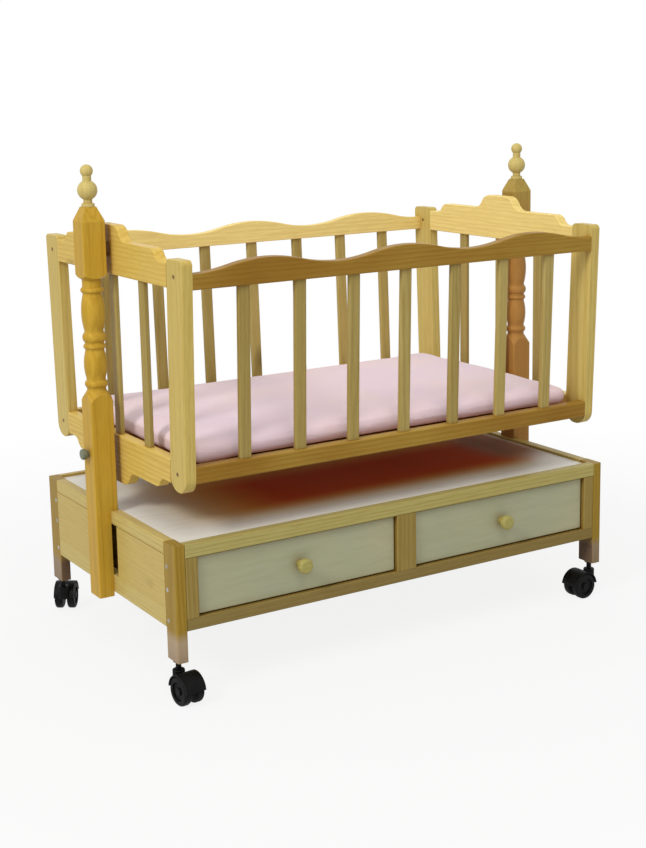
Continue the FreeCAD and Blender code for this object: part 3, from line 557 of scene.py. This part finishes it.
def makeMattress():
    shell = bpy.data.meshes.new("mattressPad")
    work = bmesh.new()
    work.from_mesh(nodes["mattress"].data)
    bmesh.ops.remove_doubles(work, verts=work.verts[:], dist=mattress["weld"])
    low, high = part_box("mattress")
    middle = (Vector(low) + Vector(high)) / 2
    size = Vector(high) - Vector(low)
    factors = [(length - 2 * mattress["shrink"]) / length for length in size]
    toMiddle = Matrix.Translation(-middle)
    bmesh.ops.scale(work, vec=factors, space=toMiddle, verts=work.verts[:])
    work.to_mesh(shell)
    work.free()
    pad = bpy.data.objects.new("mattressPad", shell)
    bpy.context.scene.collection.objects.link(pad)
    remesh = pad.modifiers.new("even", "REMESH")
    remesh.mode = "VOXEL"
    remesh.voxel_size = mattress["voxel"]
    bakeModifiers(pad)
    puff(pad)
    for face in pad.data.polygons:
        face.use_smooth = True
    finer = pad.modifiers.new("finer", "SUBSURF")
    finer.levels = 1
    finer.render_levels = 1
    pad.data.materials.append(cottonCover())
    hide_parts("mattress")
    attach(pad, "cradle")


makeMattress()
print("mattress made")


# camera at the photograph's angle
view = {
    "focal": 1486.7, "height": 848.0, "width": 646.0,   # pixels
    "centre": (324.0, 360.5),
    "sensor": 36.0,                                     # millimetres
    "target": (0.0, 0.0, 0.505), "distance": 2.956,
    "yaw": -31.74, "pitch": 10.76, "roll": -1.06,       # degrees
}


def setCamera():
    yaw, pitch, roll = (math.radians(view[name]) for name in ("yaw", "pitch", "roll"))
    back = Vector((math.sin(yaw) * math.cos(pitch), -math.cos(yaw) * math.cos(pitch), math.sin(pitch)))
    flat = Vector((math.cos(yaw), math.sin(yaw), 0.0))
    upright = back.cross(flat)
    right = math.cos(roll) * flat + math.sin(roll) * upright
    top = math.cos(roll) * upright - math.sin(roll) * flat
    lens = bpy.data.cameras.new("camera")
    lens.sensor_fit = "VERTICAL"
    lens.sensor_height = view["sensor"]
    lens.lens = view["focal"] / view["height"] * view["sensor"]
    lens.shift_x = (view["width"] / 2 - view["centre"][0]) / view["height"]
    lens.shift_y = (view["centre"][1] - view["height"] / 2) / view["height"]
    eye = bpy.data.objects.new("camera", lens)
    place = Matrix((right, top, back)).transposed().to_4x4()
    place.translation = Vector(view["target"]) + back * view["distance"]
    eye.matrix_world = place
    bpy.context.scene.collection.objects.link(eye)
    bpy.context.scene.camera = eye


setCamera()


# studio: pale floor, soft lamps and a white world
studio = {
    "lamps": [
        {"name": "keyLamp", "from": (-6.6, -2.4, 5.9), "size": 2.4, "power": 310.0,
         "colour": (1.0, 0.98, 0.94)},
        {"name": "fillLamp", "from": (-1.2, -2.9, 3.9), "size": 2.4, "power": 48.0,
         "colour": (1.0, 0.99, 0.97)},
        {"name": "topLamp", "from": (0.2, 0.6, 3.4), "size": 2.4, "power": 11.0,
         "colour": (1.0, 1.0, 1.0)},
    ],
    "aim": (0.0, 0.0, 0.45),
    "worldLight": 0.56,
    "floorRadius": 9.0,
    "floorPaint": (0.62, 0.62, 0.62),
    "floorGlow": 0.86,
    "floorFade": (0.7, 1.9),      # metres from the middle where the glow grows to full white
}


def addLamp(spec):
    lamp = bpy.data.lights.new(spec["name"], "AREA")
    lamp.shape = "DISK"
    lamp.size = spec["size"]
    lamp.energy = spec["power"]
    lamp.color = spec["colour"]
    holder = bpy.data.objects.new(spec["name"], lamp)
    place = Vector(spec["from"])
    aim = (Vector(studio["aim"]) - place).to_track_quat("-Z", "Y")
    holder.matrix_world = Matrix.Translation(place) @ aim.to_matrix().to_4x4()
    bpy.context.scene.collection.objects.link(holder)


# camera, mirror and see-through rays all meet the white studio
def seenDirectly(tree):
    path = addNode(tree, "ShaderNodeLightPath")
    mirrored = math2(tree, "MAXIMUM", path.outputs["Is Glossy Ray"], path.outputs["Is Transmission Ray"])
    return math2(tree, "MAXIMUM", path.outputs["Is Camera Ray"], mirrored)


def floorPaint():
    made, tree, shader = startMaterial("paleFloor")
    tree.nodes.remove(shader)
    paint = addNode(tree, "ShaderNodeBsdfDiffuse", Color=rgb(*studio["floorPaint"]))
    glow = addNode(tree, "ShaderNodeEmission", Color=white, Strength=1.0)
    coords = addNode(tree, "ShaderNodeTexCoord")
    reach = addNode(tree, "ShaderNodeVectorMath", {"operation": "LENGTH"})
    join(tree, coords.outputs["Object"], reach.inputs[0])
    glowRange = (studio["floorGlow"], 1.0)
    fade = mapRange(tree, reach.outputs["Value"], studio["floorFade"], glowRange, smooth=True)
    mixed = addNode(tree, "ShaderNodeMixShader")
    join(tree, math2(tree, "MULTIPLY", seenDirectly(tree), fade), mixed.inputs[0])
    join(tree, paint.outputs[0], mixed.inputs[1])
    join(tree, glow.outputs[0], mixed.inputs[2])
    join(tree, mixed.outputs[0], tree.nodes["Material Output"].inputs["Surface"])
    return made


def makeFloor():
    sheet = bpy.data.meshes.new("floor")
    work = bmesh.new()
    bmesh.ops.create_circle(work, cap_ends=True, segments=64, radius=studio["floorRadius"])
    work.to_mesh(sheet)
    work.free()
    floor = bpy.data.objects.new("floor", sheet)
    sheet.materials.append(floorPaint())
    bpy.context.scene.collection.objects.link(floor)


def makeWorld():
    world = bpy.data.worlds.new("studio")
    world.use_nodes = True
    tree = world.node_tree
    glow = tree.nodes["Background"]
    glow.inputs["Color"].default_value = white
    lift = math2(tree, "MULTIPLY", seenDirectly(tree), 1.0 - studio["worldLight"])
    join(tree, math2(tree, "ADD", lift, studio["worldLight"]), glow.inputs["Strength"])
    bpy.context.scene.world = world


for spec in studio["lamps"]:
    addLamp(spec)
makeFloor()
makeWorld()
bpy.context.scene.view_settings.view_transform = "Standard"
print("studio set")
